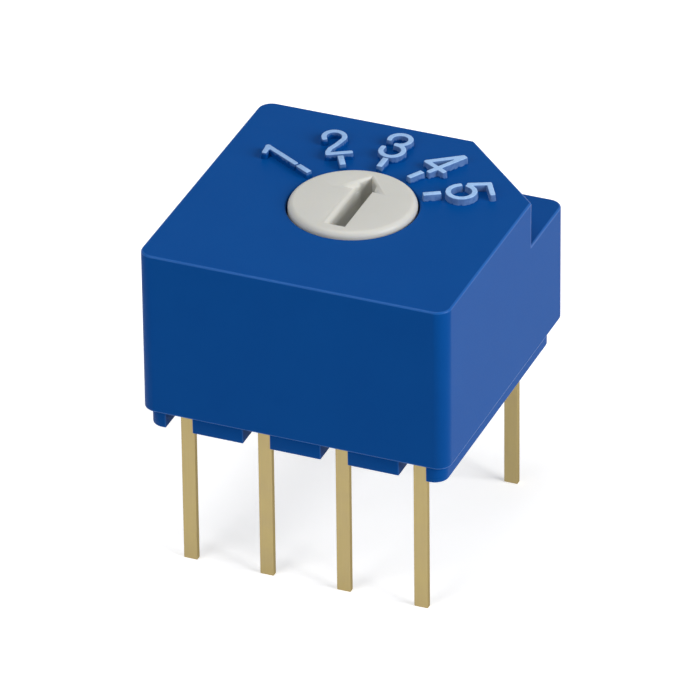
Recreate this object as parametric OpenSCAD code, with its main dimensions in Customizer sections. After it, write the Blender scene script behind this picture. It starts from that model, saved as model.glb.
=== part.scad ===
// Sealed subminiature rotary switch, one pole and five positions, for a printed circuit board.
// The origin is the middle of the cover on the plane where the feet meet the board, and +Z is up.
// The arrow of the rotor points to +Y, at position 3. Sizes are in millimetres.

/* [Cover] */
// Width of the cover, along X
body_w = 10; // [9.7:0.1:16]
// Depth of the cover, along Y
body_d = 10; // [9.8:0.1:16]
// Height of the cover from its lower rim to its top
cover_h = 5.5; // [5.1:0.1:9]
// Radius of the cover's upright corners
corner_r = 0.45; // [0.2:0.05:1]
// Thickness of the top, which is also the length of the bore that the rotor turns in
top_t = 1.95; // [1.8:0.05:2.4]
// Wall between the outside and the pocket that takes the base
wall = 0.63; // [0.5:0.01:0.7]
// Bore in the top, its diameter
bore_d = 4.08; // [3.8:0.02:4.6]
// Length along X of the cut corner at the back right
cut_x = 3; // [1.5:0.05:3.3]
// Length along Y of the cut corner at the back right
cut_y = 2.9; // [1.5:0.05:3.3]
// Depth of the cut corner below the top
cut_h = 1.53; // [0.8:0.01:1.6]
// Radius of the two upright corners beside the cut
cut_r = 0.15; // [0.05:0.05:1]

/* [Scale] */
// Angle from one position to the next
step_angle = 30; // [24:1:32]
// Length of a tick
tick_len = 0.55; // [0.3:0.05:0.7]
// Width of a tick
tick_w = 0.17; // [0.1:0.01:0.3]
// Height of a tick above the top
tick_h = 0.22; // [0.1:0.01:0.3]
// Distance from the bore to the ticks
tick_gap = 0.115; // [0.03:0.005:0.5]

/* [Base] */
// Height of the feet that hold the cover off the board
foot_h = 0.6; // [0.4:0.05:1]
// Setback of the feet behind the front and side faces of the cover
foot_inset = 0.18; // [0.1:0.01:0.3]
// Setback of the feet behind the back face of the cover
back_inset = 0.7; // [0.5:0.05:0.8]
// Width of the rim that the feet form
rim_w = 1.3; // [1.1:0.05:1.4]
// Width of the notch in the rim at each terminal
notch_w = 0.87; // [0.7:0.01:1.1]
// Thickness of the plate that carries the contacts
base_t = 1.3; // [1.2:0.05:1.5]
// Thickness of the sealing resin under the plate
resin_t = 0.35; // [0.2:0.05:0.5]
// Depth of the resin's surface above the lower rim of the cover
resin_recess = 0.1; // [0.05:0.05:0.2]

/* [Terminals] */
// Spacing of the terminals along X
pitch = 2.54; // [2.5:0.01:2.6]
// Distance between the two rows
row_spacing = 7.62; // [7.5:0.01:7.7]
// Width of a terminal
lead_w = 0.45; // [0.35:0.01:0.6]
// Thickness of the strip that the terminals are stamped from
strip_t = 0.2; // [0.15:0.01:0.25]
// Length of a terminal below the feet
lead_len = 5; // [2.5:0.1:6]
// Length of a terminal's straight run from its row into the base
lead_in = 0.7; // [0.6:0.05:0.8]
// Inside radius of the bend in a terminal
bend_r = 0.12; // [0.1:0.01:0.2]
// Middle radius of the contact pads
pad_r = 2.55; // [2.4:0.01:2.6]
// Width of the contact pads, across the wiper's path
pad_w = 0.8; // [0.6:0.01:0.9]
// Angle that one contact pad spans
pad_angle = 20; // [14:1:22]

/* [Rotor] */
// Space between the disc that shows and the bore
disc_gap = 0.06; // [0.05:0.01:0.3]
// Height of the disc above the cover
disc_rise = 0.18; // [0.05:0.01:0.4]
// Radius of the disc's edge
disc_edge_r = 0.2; // [0.05:0.01:0.25]
// Depth of the disc's narrow part below the top of the cover
disc_t = 0.45; // [0.2:0.05:0.6]
// Distance from the tip of the arrow to the disc's edge
tip_margin = 0.33; // [0.25:0.01:0.6]
// Length of the arrow's head
head_len = 0.96; // [0.7:0.02:1.1]
// Width of the arrow's head
head_w = 1.48; // [1:0.02:1.7]
// Depth of the arrow's head
head_depth = 0.3; // [0.2:0.05:0.5]
// Width of the screwdriver slot
slot_w = 0.68; // [0.4:0.02:0.8]
// Distance from the slot's blunt end to the disc's edge
tail_margin = 0.48; // [0.4:0.02:0.8]
// Depth of the screwdriver slot
slot_depth = 1; // [0.6:0.05:1.1]
// Diameter of the flange under the top
flange_d = 5.5; // [5:0.1:5.7]
// Thickness of the flange
flange_t = 0.95; // [0.7:0.05:1]
// Turn of the rotor each way from position 3
turn_angle = 60; // [30:30:60]
// Angle that the stop lug spans
lug_angle = 36; // [24:1:40]
// Radial length of the stop lug beyond the flange
lug_len = 0.42; // [0.3:0.02:0.45]
// Radius of the detent notches
detent_r = 0.32; // [0.28:0.01:0.36]
// Depth of the detent notches
detent_depth = 0.22; // [0.15:0.01:0.25]
// Diameter of the pivot under the flange
pivot_d = 1.5; // [1:0.1:1.6]
// Depth of the hole that takes the pivot
pivot_depth = 0.85; // [0.6:0.05:1]
// Diameter of the studs that carry the wiper
stud_d = 0.4; // [0.3:0.02:0.5]
// Rim of a stud's riveted head
stud_rim = 0.12; // [0.08:0.02:0.14]
// Space between the pivot and a stud
stud_gap = 0.17; // [0.14:0.01:0.2]

/* [Seal, wiper and spring] */
// Thickness of the ring seal's cord
seal_t = 0.5; // [0.4:0.02:0.55]
// Width of the groove that takes the ring seal
groove_w = 0.6; // [0.56:0.02:0.7]
// Distance of the groove below the middle of its journal
groove_drop = 0.3; // [0.2:0.05:0.35]
// Thickness of the wiper's metal
wiper_t = 0.12; // [0.08:0.01:0.15]
// Width of the wiper's hub round the pivot
hub_w = 0.55; // [0.5:0.05:0.6]
// Width of the bar of the wiper that the studs pass through
bar_w = 0.9; // [0.8:0.05:1]
// Width of one prong of the wiper
prong_w = 0.26; // [0.2:0.01:0.3]
// Space between the two prongs of one arm
prong_gap = 0.14; // [0.1:0.01:0.2]
// Thickness of the click spring's strip
spring_t = 0.12; // [0.08:0.01:0.14]
// Height of the click spring's strip
spring_h = 0.8; // [0.5:0.05:0.9]
// Length of the click spring from end to end
spring_len = 5.6; // [5:0.1:6]
// Outside radius of the click spring's nose
nose_r = 0.22; // [0.16:0.01:0.24]
// Space beyond each end of the click spring
spring_end_gap = 0.2; // [0.1:0.05:0.3]
// Distance from the back of the spring's room to the back of the base
spring_wall = 0.1; // [0.05:0.05:0.3]

/* [Clearances] */
// Radial play of the rotor in its bore and its pivot hole
turn_gap = 0.04; // [0.02:0.01:0.08]
// Play between the flange and the top
lift_gap = 0.03; // [0.02:0.01:0.05]
// Space round the flange and the lug
swing_gap = 0.08; // [0.05:0.01:0.12]
// Angle left between the lug and its stop
stop_angle = 1.2; // [0.8:0.1:2]
// Space between pieces that are pressed or cast into one another
fit_gap = 0.03; // [0.02:0.01:0.05]
// Space between the seal and the bore, and between the wiper and the pads
touch_gap = 0.02; // [0.01:0.005:0.03]
// Space between the nose of the click spring and the notch that it sits in
nose_gap = 0.07; // [0.06:0.01:0.1]

/* [Hidden] */
$fn = 64;

// Small overlap that keeps a cut open at its mouth
over = 0.1;

// Heights, from the board upwards
top_z = foot_h + cover_h;
resin_z = foot_h + resin_recess;
plate_z = resin_z + resin_t;
floor_z = plate_z + base_t;
ceiling_z = top_z - top_t;
flange_top_z = ceiling_z - lift_gap;
flange_z = flange_top_z - flange_t;
disc_top_z = top_z + disc_rise;
pivot_z = floor_z - pivot_depth + fit_gap;
groove_z = (ceiling_z + top_z - disc_t) / 2 - groove_drop;

// Plan of the base, with the rows evenly in it
rim_w_x = body_w - 2 * foot_inset;
rim_d_y = body_d - foot_inset - back_inset;
base_y = (foot_inset - back_inset) / 2;
pocket_w = body_w - 2 * wall;
pocket_d = rim_d_y - 2 * (wall - foot_inset);
pocket_r = 0.4;

// Rotor and the round chamber that it turns in
bore_r = bore_d / 2;
journal_r = bore_r - turn_gap;
disc_r = bore_r - disc_gap;
flange_r = flange_d / 2;
lug_r = flange_r + lug_len;
flange_room_r = flange_r + swing_gap;
chamber_r = lug_r + swing_gap;
stop_half_angle = turn_angle + lug_angle / 2 + stop_angle;
positions = [-2:2];

// Click spring, behind the flange
detent_r_c = flange_r - detent_depth + detent_r;
nose_y = flange_r - detent_depth + nose_gap + nose_r;
spring_room_y = base_y + pocket_d / 2 - spring_wall;
spring_z = flange_z + (flange_t - spring_h) / 2;
post_w = 0.5;

// Wiper, under the flange
stud_x = pivot_d / 2 + stud_d / 2 + stud_gap;
hub_r = pivot_d / 2 + hub_w;
prong_x = (prong_w + prong_gap) / 2;

// ---- Outlines ----

function unit(v) = v / norm(v);

// Convex outline with the radius r[i] at each corner
module rounded(corners, r) {
    n = len(corners);
    to_last = [for (i = [0:n - 1]) unit(corners[(i + n - 1) % n] - corners[i])];
    to_next = [for (i = [0:n - 1]) unit(corners[(i + 1) % n] - corners[i])];
    half = [for (i = [0:n - 1]) acos(to_last[i] * to_next[i]) / 2];
    polygon([for (i = [0:n - 1], way = [to_last[i], to_next[i]]) corners[i] + way * r[i] / tan(half[i])]);
    for (i = [0:n - 1])
        translate(corners[i] + unit(to_last[i] + to_next[i]) * r[i] / sin(half[i])) circle(r[i]);
}

module rounded_rect(w, d, r)
    rounded([[-w / 2, -d / 2], [w / 2, -d / 2], [w / 2, d / 2], [-w / 2, d / 2]], [r, r, r, r]);

// Sector of a disc from the angle a0 to the angle a1, less than half a turn
module wedge(r, a0, a1) {
    reach = r / cos((a1 - a0) / 4);
    intersection() {
        circle(r);
        polygon([[0, 0], for (a = [a0, (a0 + a1) / 2, a1]) 2 * reach * [cos(a), sin(a)]]);
    }
}

// Part of a ring between two radii and two angles
module ring_sector(r0, r1, a0, a1)
    difference() {
        wedge(r1, a0, a1);
        circle(r0);
    }

// Strip of the width w along a list of points, with round joints
module strip(points, w)
    for (i = [0:len(points) - 2]) {
        run = points[i + 1] - points[i];
        translate(points[i]) rotate(atan2(run.y, run.x)) translate([0, -w / 2]) square([norm(run), w]);
        translate(points[i]) circle(w / 2);
        translate(points[i + 1]) circle(w / 2);
    }

module at_positions()
    for (i = positions) rotate(i * step_angle) children();

// ---- Cover ----

module body_outline() rounded_rect(body_w, body_d, corner_r);

module cut_outline() {
    w = body_w / 2;
    d = body_d / 2;
    rounded([[-w, -d], [w, -d], [w, d - cut_y], [w - cut_x, d], [-w, d]],
            [corner_r, corner_r, cut_r, cut_r, corner_r]);
}

module pocket_outline(gap)
    translate([0, base_y]) rounded_rect(pocket_w - 2 * gap, pocket_d - 2 * gap, pocket_r);

module ticks()
    at_positions()
        translate([-tick_w / 2, bore_r + tick_gap, top_z - over]) cube([tick_w, tick_len, tick_h + over]);

// Room for the rotor: the flange's own bore, the lug's swing between its two stops, and the wiper below
module chamber() {
    translate([0, 0, floor_z]) cylinder(r = flange_room_r, h = ceiling_z - floor_z);
    translate([0, 0, floor_z]) cylinder(r = chamber_r, h = flange_z - lift_gap - floor_z);
    translate([0, 0, floor_z]) linear_extrude(ceiling_z - floor_z)
        for (side = [-1, 1]) wedge(chamber_r, -90, -90 + side * stop_half_angle);
}

module spring_room()
    translate([-spring_len / 2 - spring_end_gap, nose_y - nose_r, floor_z])
        cube([spring_len + 2 * spring_end_gap, spring_room_y - nose_y + nose_r, ceiling_z - floor_z]);

module cover() color("#10509a")
    difference() {
        union() {
            translate([0, 0, foot_h]) linear_extrude(cover_h - cut_h) body_outline();
            translate([0, 0, foot_h]) linear_extrude(cover_h) cut_outline();
            ticks();
        }
        translate([0, 0, foot_h - over]) linear_extrude(floor_z - foot_h + over) pocket_outline(0);
        translate([0, 0, floor_z]) cylinder(r = bore_r, h = top_z - floor_z + over);
        chamber();
        spring_room();
    }

// ---- Base ----

module rim_outline()
    difference() {
        translate([0, base_y]) rounded_rect(rim_w_x, rim_d_y, corner_r);
        translate([0, base_y]) rounded_rect(rim_w_x - 2 * rim_w, rim_d_y - 2 * rim_w, pocket_r);
        for (lead = leads) translate([lead.x, row_y(lead.y)]) square([notch_w, 2 * rim_w], center = true);
    }

// Posts that hold the two ends of the click spring at the height of the flange
module spring_posts()
    for (side = [-1, 1])
        translate([side * (spring_len - post_w) / 2 - post_w / 2, spring_room_y - post_w, floor_z])
            cube([post_w, post_w - fit_gap, spring_z - floor_z]);

module base() color("#10509a")
    difference() {
        union() {
            linear_extrude(foot_h) rim_outline();
            linear_extrude(plate_z) intersection() {
                rim_outline();
                pocket_outline(fit_gap);
            }
            translate([0, 0, plate_z]) linear_extrude(base_t) pocket_outline(fit_gap);
            spring_posts();
        }
        translate([0, 0, floor_z - pivot_depth])
            cylinder(d = pivot_d + 2 * turn_gap, h = pivot_depth + over);
        for (i = [0:len(leads) - 1]) contact(i);
    }

module sealing_resin() color("#1b2230")
    difference() {
        translate([0, 0, resin_z]) linear_extrude(resin_t) difference() {
            pocket_outline(0);
            intersection() {
                rim_outline();
                pocket_outline(fit_gap);
            }
        }
        for (i = [0:len(leads) - 1]) contact(i);
    }

// ---- Terminals ----

// Column along X and row, -1 for the front and 1 for the back, of positions 1 to 5 and the common
leads = [[1.5 * pitch, -1], [0.5 * pitch, -1], [-1.5 * pitch, 1], [-0.5 * pitch, -1], [-1.5 * pitch, -1],
         [1.5 * pitch, 1]];

function row_y(side) = base_y + side * row_spacing / 2;
function polar(r, a) = r * [cos(a), sin(a)];
function pad_dir(i) = -90 + (2 - i) * step_angle;

// Stamped track of each contact, from its pad to the row that its terminal leaves from
function track(i) =
    let (end = [leads[i].x, row_y(leads[i].y) - leads[i].y * lead_in])
    i == 2 ? [polar(pad_r, -90), [0, -1.5], [-1.45, -0.45], [-3.2, 0.3], [end.x, 1.2], end] :
    i == 5 ? [polar(pad_r, 25), [end.x, end.y - 0.9], end] :
    [polar(pad_r, pad_dir(i)), [end.x, end.y + (i == 1 || i == 3 ? 0.2 : 0.7)], end];

module pad_outline(i) {
    r0 = pad_r - pad_w / 2;
    r1 = pad_r + pad_w / 2;
    if (i < 5) ring_sector(r0, r1, pad_dir(i) - pad_angle / 2, pad_dir(i) + pad_angle / 2);
    else for (side = [-1, 1]) ring_sector(r0, r1, 90, 90 + side * (turn_angle + pad_angle / 2));
}

// Upright part of a terminal, bent over at the top, seen along X with its outer side to the right
module lead_profile() {
    out_r = bend_r + strip_t;
    mid_u = strip_t / 2 - out_r;
    mid_z = floor_z - out_r;
    translate([-strip_t / 2, -lead_len]) square([strip_t, mid_z + lead_len]);
    translate([mid_u, mid_z]) ring_sector(bend_r, out_r, 0, 90);
    translate([-lead_in - 2 * over, floor_z - strip_t]) square([mid_u + lead_in + 2 * over, strip_t]);
}

module contact(i) {
    side = leads[i].y;
    translate([leads[i].x, row_y(side), 0]) scale([1, side, 1])
        rotate([90, 0, 90]) translate([0, 0, -lead_w / 2]) linear_extrude(lead_w) lead_profile();
    translate([0, 0, floor_z - strip_t]) linear_extrude(strip_t) {
        pad_outline(i);
        strip(track(i), lead_w);
    }
}

// ---- Rotor, with its seal, wiper and spring ----

module rotor_profile() {
    translate([0, pivot_z]) square([pivot_d / 2, flange_z - pivot_z]);
    translate([0, flange_z]) square([flange_r, flange_t]);
    translate([0, flange_z]) square([journal_r, top_z - disc_t - flange_z]);
    translate([0, flange_z]) square([disc_r - disc_edge_r, disc_top_z - flange_z]);
    translate([0, flange_z]) square([disc_r, disc_top_z - disc_edge_r - flange_z]);
    translate([disc_r - disc_edge_r, disc_top_z - disc_edge_r]) circle(disc_edge_r);
}

// Seat of the ring seal in the rotor
module seal_groove()
    rotate_extrude() translate([bore_r - touch_gap - seal_t, groove_z - groove_w / 2])
        square([seal_t + over, groove_w]);

module arrow() {
    tip_y = disc_r - tip_margin;
    tail_y = tail_margin - disc_r;
    shoulder_y = tip_y - head_len * slot_w / head_w;
    translate([0, 0, disc_top_z - head_depth]) linear_extrude(head_depth + over)
        polygon([[-head_w / 2, tip_y - head_len], [head_w / 2, tip_y - head_len], [0, tip_y]]);
    translate([0, 0, disc_top_z - slot_depth]) linear_extrude(slot_depth + over)
        polygon([[-slot_w / 2, tail_y], [slot_w / 2, tail_y], [slot_w / 2, shoulder_y],
                 [0, tip_y], [-slot_w / 2, shoulder_y]]);
}

module rotor() color("#d5d3c6")
    difference() {
        union() {
            difference() {
                rotate_extrude() rotor_profile();
                seal_groove();
                arrow();
            }
            translate([0, 0, flange_z]) linear_extrude(flange_t)
                ring_sector(flange_r - over, lug_r, -90 - lug_angle / 2, -90 + lug_angle / 2);
            for (side = [-1, 1]) translate([side * stud_x, 0, flange_z - 2 * wiper_t]) {
                cylinder(d = stud_d, h = 2 * wiper_t + over);
                cylinder(d = stud_d + 2 * stud_rim, h = wiper_t);
            }
        }
        at_positions() translate([0, detent_r_c, flange_z - over])
            cylinder(r = detent_r, h = flange_t + 2 * over);
    }

module o_ring() color("#202020")
    rotate_extrude() translate([bore_r - touch_gap - seal_t / 2, groove_z]) circle(d = seal_t);

// One arm from the hub to its contact point and the tip that turns up, seen from the side
module prong_profile() {
    plate_mid_z = flange_z - wiper_t / 2;
    contact_z = floor_z + touch_gap + wiper_t / 2;
    strip([[hub_r - 0.15, plate_mid_z], [hub_r + 0.2, plate_mid_z], [pad_r - 0.1, contact_z + 0.05],
           [pad_r, contact_z], [pad_r + 0.25, contact_z + 0.15]], wiper_t);
}

module wiper() color("#c9a35c") {
    translate([0, 0, flange_z - wiper_t]) linear_extrude(wiper_t) difference() {
        union() {
            circle(hub_r);
            strip([[-stud_x - 0.1, 0], [stud_x + 0.1, 0]], bar_w);
        }
        circle(pivot_d / 2 + fit_gap);
        for (side = [-1, 1]) translate([side * stud_x, 0]) circle(stud_d / 2 + fit_gap);
    }
    for (turn = [-90, 90], side = [-1, 1])
        rotate(turn) translate([0, side * prong_x + prong_w / 2, 0]) rotate([90, 0, 0])
            linear_extrude(prong_w) prong_profile();
}

// Flat strip on edge: two arms from the corners of its room to a nose that sits in a detent notch
module click_spring() color("#c8ccd0")
    translate([0, 0, spring_z]) linear_extrude(spring_h) {
        mid_r = nose_r - spring_t / 2;
        translate([0, nose_y]) ring_sector(nose_r - spring_t, nose_r, -160, -20);
        for (side = [-1, 1])
            strip([[side * mid_r * cos(20), nose_y - mid_r * sin(20)],
                   [side * (mid_r + 0.12), nose_y + 0.26],
                   [side * (spring_len - spring_t) / 2, spring_room_y - spring_t / 2]], spring_t);
    }

cover();
base();
sealing_resin();
rotor();
o_ring();
wiper();
click_spring();
color("#b4a573") contact(0);  // terminal_1
color("#b4a573") contact(1);  // terminal_2
color("#b4a573") contact(2);  // terminal_3
color("#b4a573") contact(3);  // terminal_4
color("#b4a573") contact(4);  // terminal_5
color("#b4a573") contact(5);  // terminal_common
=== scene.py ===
import math

import bmesh
import bpy
from mathutils import Matrix, Vector


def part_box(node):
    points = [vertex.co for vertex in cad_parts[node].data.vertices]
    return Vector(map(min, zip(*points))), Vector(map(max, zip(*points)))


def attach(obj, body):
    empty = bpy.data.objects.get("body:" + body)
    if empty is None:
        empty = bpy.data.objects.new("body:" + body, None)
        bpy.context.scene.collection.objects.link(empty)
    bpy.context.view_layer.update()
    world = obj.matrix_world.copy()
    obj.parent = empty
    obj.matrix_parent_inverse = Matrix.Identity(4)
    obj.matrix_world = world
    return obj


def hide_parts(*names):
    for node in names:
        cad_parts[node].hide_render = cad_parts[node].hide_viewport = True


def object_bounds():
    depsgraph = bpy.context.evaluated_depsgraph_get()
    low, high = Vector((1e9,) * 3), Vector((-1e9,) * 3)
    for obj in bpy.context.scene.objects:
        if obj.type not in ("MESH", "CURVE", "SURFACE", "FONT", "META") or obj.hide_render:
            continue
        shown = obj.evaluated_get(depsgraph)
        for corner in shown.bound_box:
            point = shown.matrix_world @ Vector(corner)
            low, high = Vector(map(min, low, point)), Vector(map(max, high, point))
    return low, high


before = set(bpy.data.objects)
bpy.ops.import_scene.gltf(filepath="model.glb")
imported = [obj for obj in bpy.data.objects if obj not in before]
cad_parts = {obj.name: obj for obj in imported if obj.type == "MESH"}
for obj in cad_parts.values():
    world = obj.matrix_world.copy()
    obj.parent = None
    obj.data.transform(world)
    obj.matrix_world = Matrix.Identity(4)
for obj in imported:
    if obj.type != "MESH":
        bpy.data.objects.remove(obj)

mm = 0.001
cad_low, cad_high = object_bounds()

# ---- Camera ----
# A long lens looks down at the switch from the front and a little from the right, with the front edge
# of the cover falling away to the right.
view_turn = math.radians(22.324)
view_tilt = math.radians(31.246)
view_roll = math.radians(-0.652)
view_distance = 251.729 * mm
lens_pixels = 8207.47
picture_pixels = 700
aim_right = -0.137 * mm
aim_up = 0.3215 * mm
aim_height = 0.6 * mm

back = Vector((math.sin(view_turn) * math.cos(view_tilt), -math.cos(view_turn) * math.cos(view_tilt),
               math.sin(view_tilt)))
level = Vector((math.cos(view_turn), math.sin(view_turn), 0))
upright = back.cross(level)
right = level * math.cos(view_roll) + upright * math.sin(view_roll)
up = upright * math.cos(view_roll) - level * math.sin(view_roll)

lens = bpy.data.cameras.new("camera")
lens.sensor_width = 36
lens.lens = lens.sensor_width * lens_pixels / picture_pixels
lens.clip_start = 1 * mm
camera = bpy.data.objects.new("camera", lens)
camera.matrix_world = Matrix.Translation(
    right * aim_right + up * aim_up + back * view_distance + Vector((0, 0, aim_height))
) @ Matrix((right, up, back)).transposed().to_4x4()
bpy.context.scene.collection.objects.link(camera)
bpy.context.scene.camera = camera

# ---- Table and light ----
# The terminals stand on a pale plain table. Wide soft lamps light the switch from the right, from
# overhead and from the front left, and the room fills the shadows.
table_half = 600 * mm
table_height = cad_low.z
table_color = (0.86, 0.86, 0.86, 1)
table_glow = 0.5

table_mesh = bpy.data.meshes.new("table")
table_mesh.from_pydata([(-table_half, -table_half, table_height), (table_half, -table_half, table_height),
                        (table_half, table_half, table_height), (-table_half, table_half, table_height)],
                       [], [(0, 1, 2, 3)])
table = bpy.data.objects.new("table", table_mesh)
bpy.context.scene.collection.objects.link(table)


def background_rays(nodes, links):
    """1 for the rays that show the background: the camera's own, and those reflected or seen through."""
    rays = nodes.new("ShaderNodeLightPath")
    value = rays.outputs["Is Camera Ray"]
    for name in ("Is Glossy Ray", "Is Transmission Ray"):
        either = nodes.new("ShaderNodeMath")
        either.operation = "MAXIMUM"
        links.new(value, either.inputs[0])
        links.new(rays.outputs[name], either.inputs[1])
        value = either.outputs[0]
    return value


paper = bpy.data.materials.new("paper")
paper.use_nodes = True
nodes, links = paper.node_tree.nodes, paper.node_tree.links
nodes.clear()
diffuse = nodes.new("ShaderNodeBsdfDiffuse")
diffuse.inputs["Color"].default_value = table_color
glow = nodes.new("ShaderNodeEmission")
glow.inputs["Strength"].default_value = table_glow
lit = nodes.new("ShaderNodeAddShader")
links.new(diffuse.outputs[0], lit.inputs[0])
links.new(glow.outputs[0], lit.inputs[1])
choice = nodes.new("ShaderNodeMixShader")
links.new(background_rays(nodes, links), choice.inputs["Fac"])
links.new(diffuse.outputs[0], choice.inputs[1])
links.new(lit.outputs[0], choice.inputs[2])
output = nodes.new("ShaderNodeOutputMaterial")
links.new(choice.outputs[0], output.inputs["Surface"])
table_mesh.materials.append(paper)

room_color = (0.12, 0.12, 0.12, 1)
world = bpy.data.worlds.new("room")
world.use_nodes = True
nodes, links = world.node_tree.nodes, world.node_tree.links
nodes.clear()
room = nodes.new("ShaderNodeBackground")
room.inputs["Color"].default_value = room_color
white = nodes.new("ShaderNodeBackground")
choice = nodes.new("ShaderNodeMixShader")
links.new(background_rays(nodes, links), choice.inputs["Fac"])
links.new(room.outputs[0], choice.inputs[1])
links.new(white.outputs[0], choice.inputs[2])
output = nodes.new("ShaderNodeOutputWorld")
links.new(choice.outputs[0], output.inputs["Surface"])
bpy.context.scene.world = world
bpy.context.scene.view_settings.view_transform = "Standard"


def lamp(name, place, size, watts):
    light = bpy.data.lights.new(name, "AREA")
    light.size = size
    light.energy = watts
    holder = bpy.data.objects.new(name, light)
    holder.location = place
    holder.rotation_euler = Vector(place).to_track_quat("Z", "Y").to_euler()
    bpy.context.scene.collection.objects.link(holder)


lamp("lamp_right", (250 * mm, -20 * mm, 130 * mm), 160 * mm, 0.7)
lamp("lamp_top", (-50 * mm, -40 * mm, 300 * mm), 180 * mm, 0.385)
lamp("lamp_front", (-120 * mm, -230 * mm, 140 * mm), 160 * mm, 0.21)

# ---- Cover ----
# A square cup moulded in glass-filled blue thermoplastic, one corner cut down to a ledge. It is pushed
# over the base from above, and the bore in its thick top carries the rotor.
cover_low, cover_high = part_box("cover")
resin_low, resin_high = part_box("sealing_resin")
half_w = cover_high.x
half_d = cover_high.y
tick_height = 0.22 * mm
top = cover_high.z - tick_height
rim = cover_low.z
floor_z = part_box("terminal_1")[1].z
corner_r = 0.45 * mm
cut_x = 3 * mm
cut_y = 2.9 * mm
ledge = top - 1.53 * mm
edge_r = 0.06 * mm
bore_r = 2.04 * mm
ceiling = top - 1.95 * mm
pocket_r = 0.4 * mm
flange_room_r = 2.83 * mm
lug_room_r = 3.25 * mm
lug_room_top = floor_z + 0.79 * mm
stop_angle = 79.2
spring_room = ((-3 * mm, 2.6 * mm), (3 * mm, 3.75 * mm))
over = 0.2 * mm


def arc(center, radius, start, turn, steps):
    """Points along an arc in plan, with the angles in degrees."""
    angles = [math.radians(start + turn * i / steps) for i in range(steps + 1)]
    return [Vector((center[0] + radius * math.cos(a), center[1] + radius * math.sin(a))) for a in angles]


def rounded_box(low, high, radius, steps=10):
    return (arc((high[0] - radius, high[1] - radius), radius, 0, 90, steps)
            + arc((low[0] + radius, high[1] - radius), radius, 90, 90, steps)
            + arc((low[0] + radius, low[1] + radius), radius, 180, 90, steps)
            + arc((high[0] - radius, low[1] + radius), radius, 270, 90, steps))


def piece_from(name, bm, *materials):
    mesh = bpy.data.meshes.new(name)
    bm.to_mesh(mesh)
    bm.free()
    for material in materials:
        mesh.materials.append(material)
    piece = bpy.data.objects.new(name, mesh)
    bpy.context.scene.collection.objects.link(piece)
    return piece


def band(bm, lower, upper):
    """Faces between two loops that have the same number of corners."""
    for i in range(len(lower)):
        j = (i + 1) % len(lower)
        bm.faces.new((lower[i], lower[j], upper[j], upper[i]))


def closed_skin(bm, loops):
    """Faces of a closed solid through loops of corners, from the lowest to the highest."""
    for lower, upper in zip(loops, loops[1:]):
        band(bm, lower, upper)
    bm.faces.new(reversed(loops[0]))
    bm.faces.new(loops[-1])


def lofted(name, rings):
    bm = bmesh.new()
    closed_skin(bm, [[bm.verts.new(p) for p in ring] for ring in rings])
    return piece_from(name, bm)


def prism(name, outline, low, high):
    return lofted(name, [[(p[0], p[1], z) for p in outline] for z in (low, high)])


def turned(name, profile, steps=96):
    """Solid of revolution about the rotor's axis, from (radius, height) points between two on the axis."""
    bm = bmesh.new()
    rings = []
    for radius, height in profile:
        if radius == 0:
            rings.append([bm.verts.new((0, 0, height))] * steps)
        else:
            rings.append([bm.verts.new((*p, height)) for p in arc((0, 0), radius, 0, 360, steps)[:-1]])
    for lower, upper in zip(rings, rings[1:]):
        for i in range(steps):
            j = (i + 1) % steps
            corners = list(dict.fromkeys((lower[i], lower[j], upper[j], upper[i])))
            bm.faces.new(corners)
    return piece_from(name, bm)


def settle(piece):
    """Makes the modifiers of a piece part of its mesh."""
    bpy.context.view_layer.update()
    depsgraph = bpy.context.evaluated_depsgraph_get()
    mesh = bpy.data.meshes.new_from_object(piece.evaluated_get(depsgraph))
    piece.modifiers.clear()
    piece.data = mesh
    mesh.name = piece.name
    return piece


def joined(piece, others, operation):
    """Cuts the other solids out of a piece, or adds them to it, and removes them."""
    for other in others:
        boolean = piece.modifiers.new("boolean", "BOOLEAN")
        boolean.operation = operation
        boolean.solver = "EXACT"
        boolean.object = other
    settle(piece)
    for other in others:
        bpy.data.objects.remove(other)
    return piece


def eased(piece, width, steps=3, limit=30):
    """Rounds the sharp edges, in the second material where the piece has one, and keeps the flats flat."""
    bevel = piece.modifiers.new("edges", "BEVEL")
    bevel.width = width
    bevel.segments = steps
    bevel.limit_method = "ANGLE"
    bevel.angle_limit = math.radians(limit)
    bevel.use_clamp_overlap = False
    bevel.material = len(piece.data.materials) - 1
    settle(piece)
    return smoothed(piece)


def smoothed(piece, sharp=50):
    piece.data.shade_smooth()
    piece.data.set_sharp_from_angle(angle=math.radians(sharp))
    normals = piece.modifiers.new("flats", "WEIGHTED_NORMAL")
    normals.keep_sharp = True
    return settle(piece)


def noise(nodes, links, vector, size, detail):
    """Noise whose largest patches are of about this size."""
    texture = nodes.new("ShaderNodeTexNoise")
    texture.inputs["Scale"].default_value = 1 / size
    texture.inputs["Detail"].default_value = detail
    links.new(vector, texture.inputs["Vector"])
    return texture.outputs["Fac"]


def clouded(nodes, links, color, cloud, patches):
    """Base colour that drifts from one tone to another."""
    tint = nodes.new("ShaderNodeMix")
    tint.data_type = "RGBA"
    tint.inputs["A"].default_value = (*color, 1)
    tint.inputs["B"].default_value = (*cloud, 1)
    links.new(patches, tint.inputs["Factor"])
    links.new(tint.outputs["Result"], nodes["Principled BSDF"].inputs["Base Color"])


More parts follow.
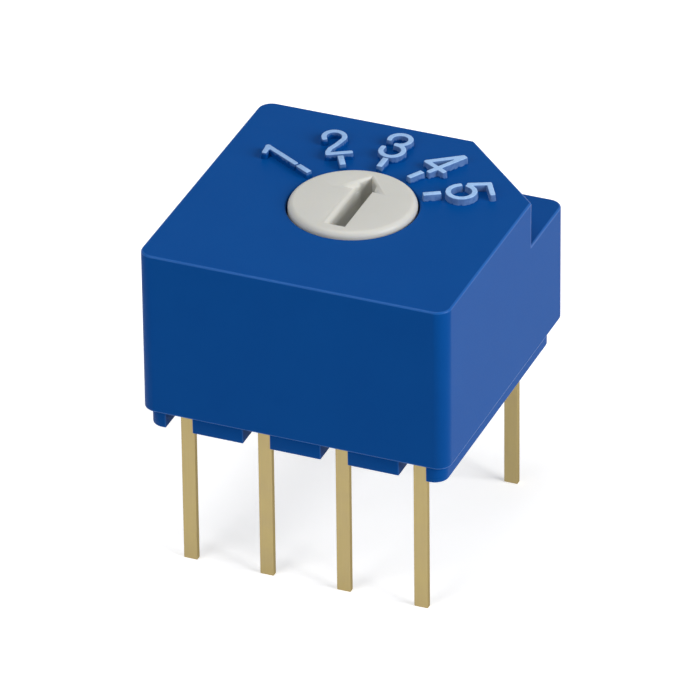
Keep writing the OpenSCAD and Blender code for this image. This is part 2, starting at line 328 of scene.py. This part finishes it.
def grained(nodes, links, texture, roughness, spread, relief):
    """Fine texture that makes the surface rougher and smoother, and lifts it by the relief."""
    gloss = nodes.new("ShaderNodeMapRange")
    gloss.inputs["To Min"].default_value = roughness - spread
    gloss.inputs["To Max"].default_value = roughness + spread
    links.new(texture, gloss.inputs["Value"])
    links.new(gloss.outputs["Result"], nodes["Principled BSDF"].inputs["Roughness"])
    bump = nodes.new("ShaderNodeBump")
    bump.inputs["Distance"].default_value = relief
    links.new(texture, bump.inputs["Height"])
    links.new(bump.outputs["Normal"], nodes["Principled BSDF"].inputs["Normal"])


def moulded(name, color, cloud, roughness, gloss_level=0.035, grain=0.05 * mm, relief=0.002 * mm):
    """Opaque moulded plastic: a faintly cloudy colour, and the fine grain of a spark-eroded mould."""
    cloud_size = 1.6 * mm
    material = bpy.data.materials.new(name)
    material.use_nodes = True
    nodes, links = material.node_tree.nodes, material.node_tree.links
    nodes["Principled BSDF"].inputs["Specular IOR Level"].default_value = gloss_level
    place = nodes.new("ShaderNodeTexCoord").outputs["Object"]
    clouded(nodes, links, color, cloud, noise(nodes, links, place, cloud_size, 5))
    grained(nodes, links, noise(nodes, links, place, grain, 3), roughness, 0.06, relief)
    return material


blue = moulded("blue_plastic", (0.0005, 0.06, 0.265), (0.001, 0.068, 0.285), 0.42)
# The rounded edges of the cover and the base take a second blue. It is glossier than the faces, and its
# paler colour is a painted highlight that stands in for the light the edges catch.
blue_edge_highlight = moulded("blue_polished_edge", (0.004, 0.085, 0.34), (0.006, 0.1, 0.37), 0.3, 0.15)

corner_arc = arc((half_w - corner_r, half_d - corner_r), corner_r, 0, 90, 10)
cut_ends = [Vector((half_w, half_d - cut_y)), Vector((half_w - cut_x, half_d))]
three_corners = rounded_box((-half_w, -half_d), (half_w, half_d), corner_r)[len(corner_arc):]
bm = bmesh.new()
outline = [cut_ends[0], *corner_arc, cut_ends[1], *three_corners]
bottom_ring, ledge_ring = [[bm.verts.new((*p, z)) for p in outline] for z in (rim, ledge)]
cut_ring = [ledge_ring[0], *ledge_ring[len(corner_arc) + 1:]]
top_ring = [bm.verts.new((*v.co.xy, top)) for v in cut_ring]
band(bm, bottom_ring, ledge_ring)
band(bm, cut_ring, top_ring)
bm.faces.new(ledge_ring[:len(corner_arc) + 2])
bm.faces.new(top_ring)
bm.faces.new(reversed(bottom_ring))
# Its rounded edges are in the paler blue of the painted edge highlight.
cover = eased(piece_from("cover_shell", bm, blue, blue_edge_highlight), edge_r)

bore_mouth = [(bore_r + edge_r * (1 - math.cos(t)), top - edge_r * (1 - math.sin(t)))
              for t in (math.radians(15 * i) for i in range(7))]
hollows = [
    prism("pocket", rounded_box(resin_low.xy, resin_high.xy, pocket_r), rim - over, floor_z),
    turned("bore", [(0, floor_z - over), (flange_room_r, floor_z - over), (flange_room_r, ceiling),
                    (bore_r, ceiling), *bore_mouth, (bore_r + edge_r, top + over), (0, top + over)]),
    turned("lug_room", [(0, floor_z - over), (lug_room_r, floor_z - over), (lug_room_r, lug_room_top),
                        (0, lug_room_top)]),
    prism("lug_swing", [Vector((0, 0))] + arc((0, 0), lug_room_r, -90 - stop_angle, 2 * stop_angle, 40),
          floor_z - over, ceiling),
    prism("spring_hole", rounded_box(*spring_room, 0.01 * mm, 2), floor_z - over, ceiling),
]
cover = smoothed(joined(cover, hollows, "DIFFERENCE"))

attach(cover, "case")
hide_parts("cover")

# ---- Dial marks ----
# A tick and a digit at each of the five positions stand up from the cover, moulded in one with it. A
# roller inked them pale blue. It pressed harder towards the right, where the ink is denser on the tops
# and runs thinly down the whole of the walls.
dial_step = 30
dial_angles = {"1": 60, "2": 30, "3": 0, "4": -30, "5": -60}
stroke_foot = 0.105
stroke_top = 0.083
squareness = 0.6
voxel = 0.014


def bend(center, radii, start, turn, steps=16):
    """Points along part of an ellipse, with the angles in degrees."""
    angles = [math.radians(start + turn * i / steps) for i in range(steps + 1)]
    return [(center[0] + radii[0] * math.cos(a), center[1] + radii[1] * math.sin(a)) for a in angles]


# Each stroke is a path across the dial at position 3, in millimetres from the rotor's axis.
strokes = {
    "1": [[(0, 2.86), (0, 4.2)], [(0, 4.2), (-0.3, 3.99)]],
    "2": [bend((-0.02, 3.9), (0.32, 0.34), 190, -225)
          + [(-0.02, 3.4), (-0.24, 3.2), (-0.34, 3.02), (-0.36, 2.88)],
          [(-0.36, 2.88), (0.33, 2.88)]],
    "3": [bend((0, 3.91), (0.33, 0.32), 195, -285), bend((0.01, 3.21), (0.35, 0.37), 90, -285)],
    "4": [[(0.07, 4.23), (-0.4, 3.2)], [(-0.4, 3.2), (0.4, 3.2)], [(0.13, 4.23), (0.13, 2.88)]],
    "5": [[(0.32, 4.24), (-0.3, 4.24)], [(-0.3, 4.24), (-0.36, 3.64)],
          bend((0.03, 3.33), (0.4, 0.41), 140, -320)],
}


def stroke_outline(path, half_width, steps=8):
    """Outline round a path, with nearly square ends."""
    points = [Vector(p) for p in path]
    ways = [(b - a).normalized() for a, b in zip(points, points[1:])]
    turns = [ways[0]] + [(a + b).normalized() for a, b in zip(ways, ways[1:])] + [ways[-1]]
    outline = []
    for side in (1, -1):
        order = range(len(points)) if side == 1 else reversed(range(len(points)))
        outline += [points[i] + side * half_width * Vector((turns[i].y, -turns[i].x)) for i in order]
        end, way = (points[-1], ways[-1]) if side == 1 else (points[0], -ways[0])
        across = Vector((way.y, -way.x))
        for i in range(1, steps):
            t = math.pi * i / steps
            c = math.copysign(abs(math.cos(t)) ** squareness, math.cos(t))
            outline.append(end + half_width * (c * across + math.sin(t) ** squareness * way))
    return outline


# Each level is a share of the height, and how far the half width there goes from the top's to the foot's.
levels = [(-0.06, 1), (0, 1), (0.85, 0.3), (1, -0.2)]
bm = bmesh.new()
for digit, angle in dial_angles.items():
    turn = Matrix.Rotation(math.radians(angle), 2)
    for path in strokes[digit]:
        rings = []
        for share, spread in levels:
            half_width = stroke_top + (stroke_foot - stroke_top) * spread
            rings.append([bm.verts.new((*(turn @ p), (top + share * tick_height) / mm))
                          for p in stroke_outline(path, half_width)])
        closed_skin(bm, rings)
digits = piece_from("dial_digits", bm)
remesh = digits.modifiers.new("one_skin", "REMESH")
remesh.mode = "VOXEL"
remesh.voxel_size = voxel
settle(digits)
digits.data.transform(Matrix.Scale(mm, 4))
digits.data.shade_smooth()

dial_reach = 3.5 * mm
blotch = 0.12 * mm
ink_reach = (0.02 * mm, 0.2 * mm)
ink_edge = 0.02 * mm
ink_color = (0.37, 0.57, 0.88, 1)

inked = blue.copy()
inked.name = "inked_plastic"
nodes, links = inked.node_tree.nodes, inked.node_tree.links
plastic = nodes["Principled BSDF"]
moulded_color = plastic.inputs["Base Color"].links[0].from_socket
place = nodes.new("ShaderNodeTexCoord")
across = nodes.new("ShaderNodeSeparateXYZ")
links.new(place.outputs["Object"], across.inputs["Vector"])
surface = nodes.new("ShaderNodeNewGeometry")
facing = nodes.new("ShaderNodeSeparateXYZ")
links.new(surface.outputs["Normal"], facing.inputs["Vector"])
unevenness = noise(nodes, links, place.outputs["Object"], blotch, 4)


def mapped(source, from_low, from_high, to_low, to_high):
    """Node that maps a value from one range to another, and stays within it."""
    node = nodes.new("ShaderNodeMapRange")
    node.inputs["From Min"].default_value = from_low
    node.inputs["From Max"].default_value = from_high
    node.inputs["To Min"].default_value = to_low
    node.inputs["To Max"].default_value = to_high
    links.new(source, node.inputs["Value"])
    return node.outputs["Result"]


def combined(operation, first, second):
    node = nodes.new("ShaderNodeMath")
    node.operation = operation
    links.new(first, node.inputs[0])
    links.new(second, node.inputs[1])
    return node.outputs["Value"]


pressure = mapped(across.outputs["X"], -dial_reach, dial_reach, 0, 1)
reach = combined("ADD", mapped(pressure, 0, 1, *ink_reach), mapped(unevenness, 0.3, 0.7, 0, 0.07 * mm))
depth = mapped(across.outputs["Z"], top, top + tick_height, tick_height, 0)
wetted_here = mapped(combined("SUBTRACT", reach, depth), -ink_edge, ink_edge, 0, 1)
upward = mapped(facing.outputs["Z"], 0.3, 0.8, 0, 1)
thin = combined("MULTIPLY", mapped(pressure, 0, 1, 0.16, 0.3), mapped(unevenness, 0.3, 0.7, 0.7, 1.2))
dense = combined("MULTIPLY", mapped(pressure, 0, 1, 0.76, 1), mapped(unevenness, 0.2, 0.5, 0.8, 1))
coverage = nodes.new("ShaderNodeMix")
links.new(upward, coverage.inputs["Factor"])
links.new(thin, coverage.inputs["A"])
links.new(dense, coverage.inputs["B"])
ink = nodes.new("ShaderNodeMix")
ink.data_type = "RGBA"
ink.inputs["B"].default_value = ink_color
links.new(combined("MULTIPLY", wetted_here, coverage.outputs["Result"]), ink.inputs["Factor"])
links.new(moulded_color, ink.inputs["A"])
links.new(ink.outputs["Result"], plastic.inputs["Base Color"])
digits.data.materials.append(inked)

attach(digits, "case")

# The ticks are one shape, turned about the rotor's axis from one position to the next.
tick_length = 0.55 * mm
tick_width = 0.19 * mm
tick_draft = 0.02 * mm
tick_edge_r = 0.02 * mm
tick_start = bore_r + 0.115 * mm
tick_ring = [(tick_draft, -0.02 * mm), (tick_draft, 0), (0, tick_height)]
ticks = lofted("dial_ticks", [
    [(*p, top + height) for p in rounded_box((-tick_width / 2 - out, tick_start - out),
                                             (tick_width / 2 + out, tick_start + tick_length + out),
                                             tick_edge_r + out, 3)]
    for out, height in tick_ring])
eased(ticks, tick_edge_r, 3, 60)


def scale_tree():
    """Copies the incoming mesh about Z, once at each position of a scale."""
    tree = bpy.data.node_groups.new("scale", "GeometryNodeTree")
    face = tree.interface
    face.new_socket("Geometry", in_out="INPUT", socket_type="NodeSocketGeometry")
    face.new_socket("Positions", in_out="INPUT", socket_type="NodeSocketInt")
    face.new_socket("Step Angle", in_out="INPUT", socket_type="NodeSocketFloat")
    face.new_socket("Material", in_out="INPUT", socket_type="NodeSocketMaterial")
    face.new_socket("Geometry", in_out="OUTPUT", socket_type="NodeSocketGeometry")
    nodes, links = tree.nodes, tree.links
    given = nodes.new("NodeGroupInput")
    points = nodes.new("GeometryNodePoints")
    links.new(given.outputs["Positions"], points.inputs["Count"])
    index = nodes.new("GeometryNodeInputIndex")
    middle = nodes.new("ShaderNodeMath")
    middle.operation = "MULTIPLY_ADD"
    middle.inputs[1].default_value = -0.5
    middle.inputs[2].default_value = 0.5
    links.new(given.outputs["Positions"], middle.inputs[0])
    place = nodes.new("ShaderNodeMath")
    links.new(index.outputs["Index"], place.inputs[0])
    links.new(middle.outputs["Value"], place.inputs[1])
    angle = nodes.new("ShaderNodeMath")
    angle.operation = "MULTIPLY"
    links.new(place.outputs["Value"], angle.inputs[0])
    links.new(given.outputs["Step Angle"], angle.inputs[1])
    turn = nodes.new("ShaderNodeCombineXYZ")
    links.new(angle.outputs["Value"], turn.inputs["Z"])
    copies = nodes.new("GeometryNodeInstanceOnPoints")
    links.new(points.outputs["Points"], copies.inputs["Points"])
    links.new(given.outputs["Geometry"], copies.inputs["Instance"])
    links.new(turn.outputs["Vector"], copies.inputs["Rotation"])
    real = nodes.new("GeometryNodeRealizeInstances")
    links.new(copies.outputs["Instances"], real.inputs["Geometry"])
    finish = nodes.new("GeometryNodeSetMaterial")
    links.new(real.outputs["Geometry"], finish.inputs["Geometry"])
    links.new(given.outputs["Material"], finish.inputs["Material"])
    result = nodes.new("NodeGroupOutput")
    links.new(finish.outputs["Geometry"], result.inputs["Geometry"])
    return tree


def grown(piece, tree, **values):
    """Puts a tree on a piece, with its named inputs set, and makes the result its mesh."""
    modifier = piece.modifiers.new(tree.name, "NODES")
    modifier.node_group = tree
    for socket in tree.interface.items_tree:
        key = socket.name.lower().replace(" ", "_")
        if socket.in_out == "INPUT" and key in values:
            modifier[socket.identifier] = values[key]
    return settle(piece)


grown(ticks, scale_tree(), positions=len(dial_angles), step_angle=math.radians(dial_step), material=inked)

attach(ticks, "case")

# ---- Rotor ----
# The knob that turns the switch, moulded in ivory plastic: a pivot, a wide flange with a stop lug and five
# detent notches, a waist with a groove for the seal, and a disc with the arrow and the screwdriver slot.
rotor_low, rotor_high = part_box("rotor")
disc_top = rotor_high.z
disc_r = 1.98 * mm
disc_edge_r = 0.2 * mm
disc_foot = top - 0.45 * mm
waist_r = 2 * mm
groove_r = 1.52 * mm
groove_low, groove_high = 4.3 * mm, 4.9 * mm
flange_r = 2.75 * mm
flange_low, flange_high = 3.17 * mm, 4.12 * mm
pivot_r = 0.75 * mm
lug_r = 3.17 * mm
lug_half_angle = 18
detent_r = 0.32 * mm
detent_out = flange_r - 0.22 * mm + detent_r
arrow_tip = 1.65 * mm
arrow_foot = 0.69 * mm
arrow_half_w = 0.74 * mm
arrow_depth = 0.3 * mm
slot_half_w = 0.34 * mm
slot_tail = -1.5 * mm
slot_depth = 1 * mm
shoulder = arrow_tip - (arrow_tip - arrow_foot) * slot_half_w / arrow_half_w

disc_edge = [(disc_r - disc_edge_r * (1 - math.cos(t)), disc_top - disc_edge_r * (1 - math.sin(t)))
             for t in (math.radians(11.25 * i) for i in range(9))]
rotor = turned("rotor_knob", [
    (0, rotor_low.z), (pivot_r, rotor_low.z), (pivot_r, flange_low), (flange_r, flange_low),
    (flange_r, flange_high), (waist_r, flange_high), (waist_r, groove_low), (groove_r, groove_low),
    (groove_r, groove_high), (waist_r, groove_high), (waist_r, disc_foot), (disc_r, disc_foot),
    *disc_edge, (0, disc_top)])
lug = prism("lug", arc((0, 0), lug_r, -90 - lug_half_angle, 2 * lug_half_angle, 16)
            + arc((0, 0), flange_r - 0.3 * mm, -90 + lug_half_angle, -2 * lug_half_angle, 16),
            flange_low, flange_high)


def recess(name, outline, depth, sides):
    """Solid that cuts a hollow of a convex outline into the disc. Each side of the outline has the radius
    of its rounded mouth, and the spread of the mouth beyond the outline."""
    points = [Vector(p) for p in outline]
    ways = [(b - a).normalized() for a, b in zip(points, points[1:] + points[:1])]
    outward = [Vector((way.y, -way.x)) for way in ways]
    drops = {depth} | {r * (1 - math.sin(math.radians(15 * i))) for r, _ in sides for i in range(7)}
    rings = []
    for drop in [*sorted(drops, reverse=True), -over]:
        level = max(drop, 0)
        outs = [spread - r + r * (1 - math.sqrt(1 - (1 - min(level / r, 1)) ** 2)) for r, spread in sides]
        ring = []
        for i, point in enumerate(points):
            a, b = outward[i - 1], outward[i]
            out_a, out_b = outs[i - 1], outs[i]
            turn = a.cross(b)
            ring.append((point.x + (out_a * b.y - out_b * a.y) / turn,
                         point.y + (a.x * out_b - b.x * out_a) / turn, disc_top - drop))
        rings.append(ring)
    return lofted(name, rings)


tight = (0.09 * mm, 0.08 * mm)
crisp = (0.12 * mm, 0.07 * mm)
wide = (0.22 * mm, 0.11 * mm)
deep = (0.3 * mm, 0.1 * mm)
arrow_outline = [(-arrow_half_w, arrow_foot), (arrow_half_w, arrow_foot), (0, arrow_tip)]
slot_outline = [(-slot_half_w, slot_tail), (slot_half_w, slot_tail), (slot_half_w, shoulder),
                (0, arrow_tip), (-slot_half_w, shoulder)]
cuts = [recess("arrow", arrow_outline, arrow_depth, [deep, deep, deep]),
        recess("slot", slot_outline, slot_depth, [tight, tight, crisp, crisp, wide])]
for angle in dial_angles.values():
    middle = Matrix.Rotation(math.radians(angle), 2) @ Vector((0, detent_out))
    circle = arc(middle, detent_r, 0, 360, 40)[:-1]
    cuts.append(prism("notch", circle, flange_low - over, flange_high + over))
joined(rotor, [lug], "UNION")
joined(rotor, cuts, "DIFFERENCE")

# The cuts leave slivers where the mouths of the arrow and the slot meet.
closest = 0.004 * mm
bm = bmesh.new()
bm.from_mesh(rotor.data)
bmesh.ops.remove_doubles(bm, verts=bm.verts, dist=closest)
bmesh.ops.dissolve_degenerate(bm, edges=bm.edges, dist=closest / 2)
bm.to_mesh(rotor.data)
bm.free()
rotor = smoothed(rotor)

ivory = moulded("ivory_plastic", (0.575, 0.572, 0.535), (0.615, 0.612, 0.575), 0.38, 0.3)
ivory_shader = ivory.node_tree.nodes["Principled BSDF"]
ivory_shader.inputs["Subsurface Weight"].default_value = 0.3
ivory_shader.inputs["Subsurface Radius"].default_value = (1, 0.8, 0.5)
ivory_shader.inputs["Subsurface Scale"].default_value = 0.4 * mm
rotor.data.materials.append(ivory)

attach(rotor, "rotor")
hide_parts("rotor")

# ---- Base ----
# The blue plate that closes the cover from below, with the feet that hold the switch off the board. The
# six contacts are moulded into it, and two posts on its inner side hold the ends of the click spring.


def copy_of(node, name, width, *materials):
    """Copy of a solid of the frame, with its edges eased."""
    same_place = 0.0005 * mm
    flat = math.radians(0.5)
    bm = bmesh.new()
    bm.from_mesh(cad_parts[node].data)
    bmesh.ops.remove_doubles(bm, verts=bm.verts, dist=same_place)
    bmesh.ops.dissolve_limit(bm, angle_limit=flat, verts=bm.verts, edges=bm.edges)
    for face in bm.faces:
        face.material_index = 0
    return eased(piece_from(name, bm, *materials), width, 2)


# Its rounded edges, like the cover's, are in the paler blue of the painted edge highlight.
base = copy_of("base", "base_plate", 0.03 * mm, blue, blue_edge_highlight)

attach(base, "case")
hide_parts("base")

# ---- Terminals and contacts ----
# Six strips stamped from one sheet of copper alloy and plated. Each is bent down from its contact pad
# inside the switch, through the resin, to a straight pin whose end is sheared off square.


def metal(name, color, cloud, roughness, streak):
    """Metal strip: dull tarnish in patches, and fine marks drawn out along the length."""
    patch_size = 0.7 * mm
    mark_width = 0.05 * mm
    mark_relief = 0.001 * mm
    material = bpy.data.materials.new(name)
    material.use_nodes = True
    nodes, links = material.node_tree.nodes, material.node_tree.links
    strip = nodes["Principled BSDF"]
    strip.inputs["Metallic"].default_value = 1
    strip.inputs["Specular Tint"].default_value = (0.6, 0.55, 0.45, 1)
    place = nodes.new("ShaderNodeTexCoord").outputs["Object"]
    clouded(nodes, links, color, cloud, noise(nodes, links, place, patch_size, 4))
    stretch = nodes.new("ShaderNodeMapping")
    stretch.inputs["Scale"].default_value = streak
    links.new(place, stretch.inputs["Vector"])
    marks = noise(nodes, links, stretch.outputs["Vector"], mark_width, 3)
    grained(nodes, links, marks, roughness, 0.1, mark_relief)
    return material


dull_gold = metal("dull_gold", (0.38, 0.3, 0.157), (0.415, 0.33, 0.142), 0.45, (1, 1, 0.05))
for number in ("1", "2", "3", "4", "5", "common"):
    terminal = copy_of("terminal_" + number, "pin_" + number, 0.02 * mm, dull_gold)
    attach(terminal, "case")
    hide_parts("terminal_" + number)

# ---- Sealing resin ----
# Dark epoxy poured into the upturned switch and levelled by itself, so it is flat and glossy. It wets
# the terminals and creeps a little way along each of them.
lead_w = 0.45 * mm
strip_t = 0.2 * mm
pitch = 2.54 * mm
creep = 0.14 * mm
film = 0.005 * mm
root = 0.05 * mm
front_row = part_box("terminal_1")[0].y + strip_t / 2
back_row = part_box("terminal_common")[1].y - strip_t / 2

epoxy = moulded("dark_epoxy", (0.006, 0.009, 0.018), (0.01, 0.014, 0.026), 0.16, 0.5, 0.4 * mm,
                relief=0.004 * mm)
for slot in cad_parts["sealing_resin"].material_slots:
    slot.material = epoxy

corner_places = [(side * 1.5 * pitch, row) for side in (-1, 1) for row in (front_row, back_row)]
inner_places = [(side * 0.5 * pitch, front_row) for side in (-1, 1)]
bm = bmesh.new()
for x, y in corner_places + inner_places:
    rings = []
    for i in range(9):
        t = math.radians(11.25 * i)
        out = creep * (1 - math.cos(t)) + film
        height = resin_low.z - creep * (1 - math.sin(t))
        low = (x - lead_w / 2 - out, y - strip_t / 2 - out)
        high = (x + lead_w / 2 + out, y + strip_t / 2 + out)
        rings.append([bm.verts.new((*p, height)) for p in rounded_box(low, high, out, 4)])
    rings.append([bm.verts.new(v.co + Vector((0, 0, root))) for v in rings[-1]])
    closed_skin(bm, rings)
wetted = smoothed(piece_from("resin_menisci", bm))
wetted.data.materials.append(epoxy)

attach(wetted, "case")

# ---- Ring seal ----
# A black rubber ring in the rotor's groove, greased and squeezed against the bore.
rubber = moulded("greased_rubber", (0.012, 0.012, 0.013), (0.02, 0.02, 0.021), 0.3, 0.5, 0.1 * mm)
seal = copy_of("o_ring", "ring_seal", 0, rubber)

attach(seal, "rotor")
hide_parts("o_ring")

# ---- Wiper ----
# A thin springy stamping, riveted under the flange by two studs. Its two arms are split into prongs that
# press on the common track and on one contact pad.
wiper_gold = metal("wiper_gold", (0.62, 0.45, 0.16), (0.58, 0.41, 0.15), 0.28, (0.1, 1, 1))
wiper = copy_of("wiper", "wiper_stamping", 0.01 * mm, wiper_gold)

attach(wiper, "rotor")
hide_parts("wiper")

# ---- Click spring ----
# A strip of stainless steel on edge behind the rotor. Its nose sits in a notch of the flange and bends
# back as the rotor turns to the next one.
steel = metal("spring_steel", (0.5, 0.5, 0.5), (0.45, 0.45, 0.46), 0.32, (0.05, 0.05, 1))
spring = copy_of("click_spring", "detent_spring", 0.01 * mm, steel)

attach(spring, "case")
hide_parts("click_spring")
